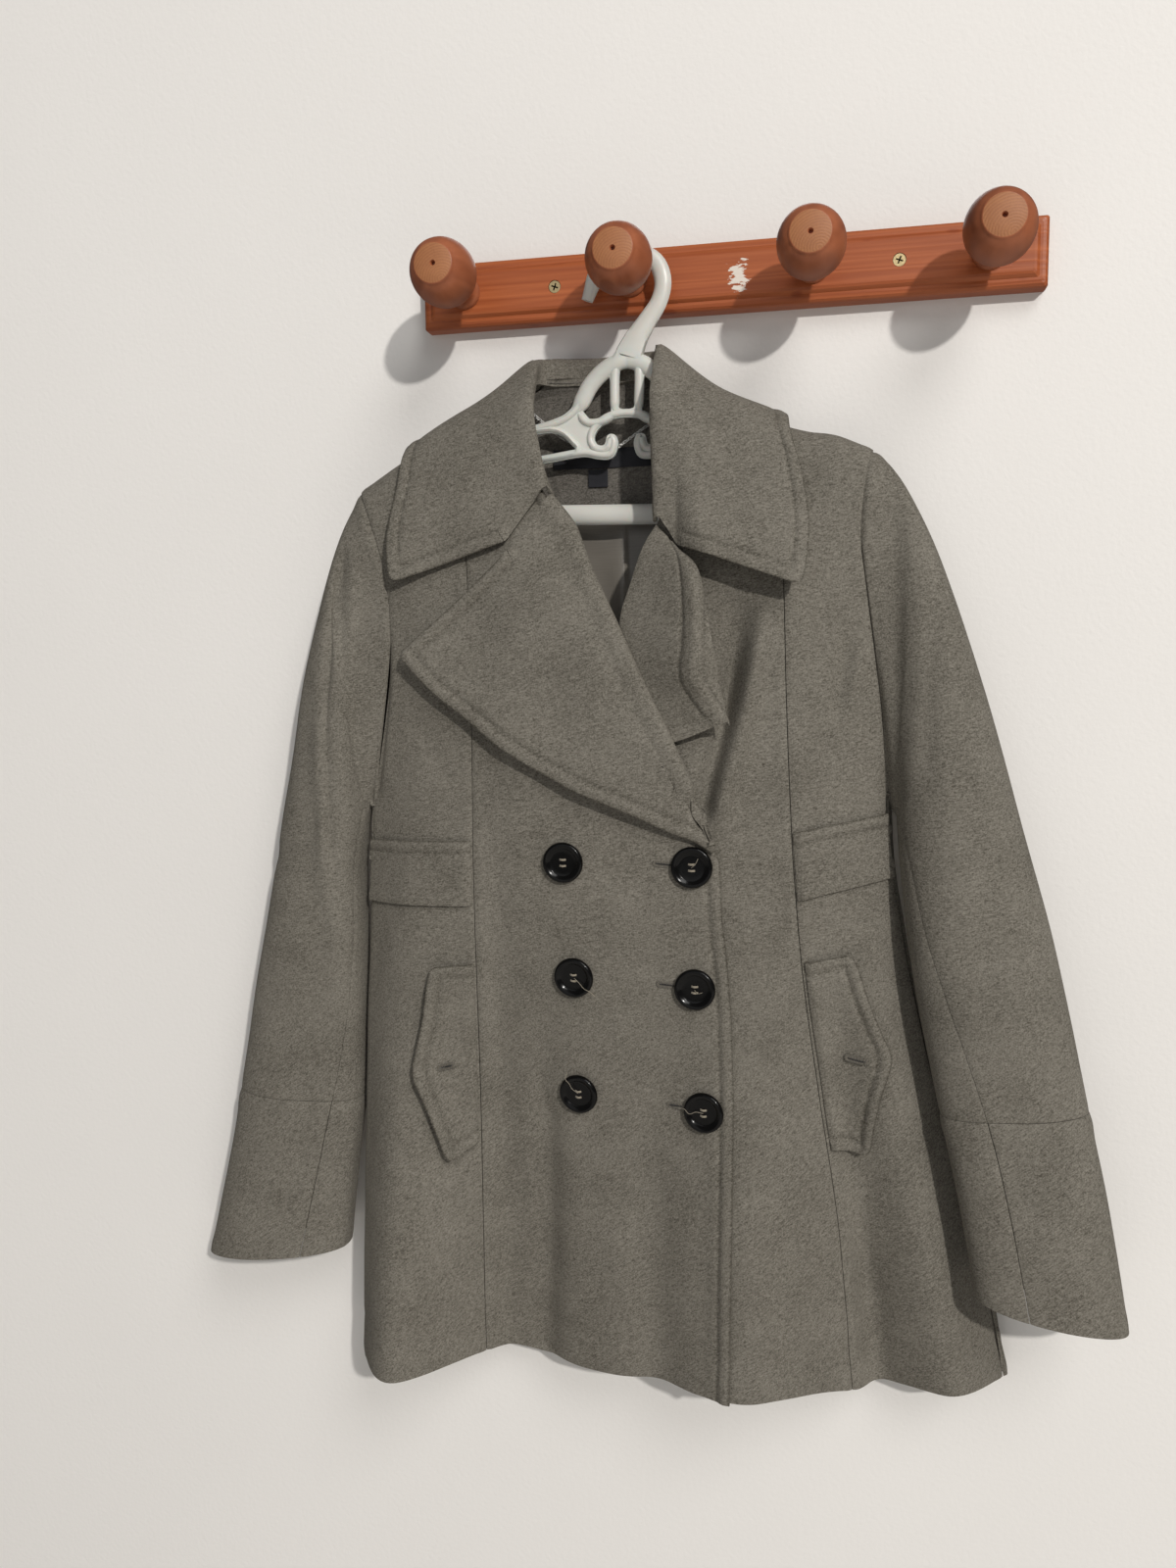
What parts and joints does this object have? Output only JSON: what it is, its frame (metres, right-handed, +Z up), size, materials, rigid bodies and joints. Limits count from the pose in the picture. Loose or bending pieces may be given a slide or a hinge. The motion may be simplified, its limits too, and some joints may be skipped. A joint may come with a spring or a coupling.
{
  "type": "double-breasted coat on a hanger with a peg rail",
  "caption": "Short grey wool double-breasted coat with wide notched lapels, buttoned, on a white plastic hanger hung from a peg of a moulded wooden wall rail.",
  "frame": {"origin": "centre of the peg rail's back face, on the wall plane", "axes": "+X to the right seen from the front along the rail, +Y into the wall, +Z up"},
  "size_m": [0.725, 0.092, 0.8704],
  "materials": {
    "wool": "brushed melange wool coating",
    "lining": "satin lining",
    "label": "woven label",
    "plastic": "semi-gloss, slightly translucent",
    "pine": "orange-brown stained and varnished pine",
    "button": "glossy black",
    "steel": "dull plated steel",
    "chain": "bright plated links"
  },
  "bodies": {
    "root": {"front_left_side": "wool", "front_left_centre": "wool", "front_right_centre": "wool", "front_right_side": "wool", "back_right": "wool", "back_left": "wool", "lapel_left": "wool", "lapel_right": "wool", "collar": "wool", "waist_tab_left": "wool", "waist_tab_right": "wool", "pocket_flap_left": "wool", "pocket_flap_right": "wool", "sleeve_left_upper": "wool", "sleeve_left_under": "wool", "cuff_left_upper": "wool", "cuff_left_under": "wool", "sleeve_right_upper": "wool", "sleeve_right_under": "wool", "cuff_right_upper": "wool", "cuff_right_under": "wool", "neck_facing": "wool", "lining_back": "lining", "neck_label": "label", "size_tab": "label", "hang_chain": "chain", "hanger": "plastic", "button_left_top": "button", "button_left_middle": "button", "button_left_bottom": "button", "button_right_top": "button", "button_right_middle": "button", "button_right_bottom": "button", "rail_board": "pine", "screw_1": "steel", "screw_2": "steel", "peg_1": "pine", "peg_2": "pine", "peg_3": "pine", "peg_4": "pine"}
  },
  "joints": []
}
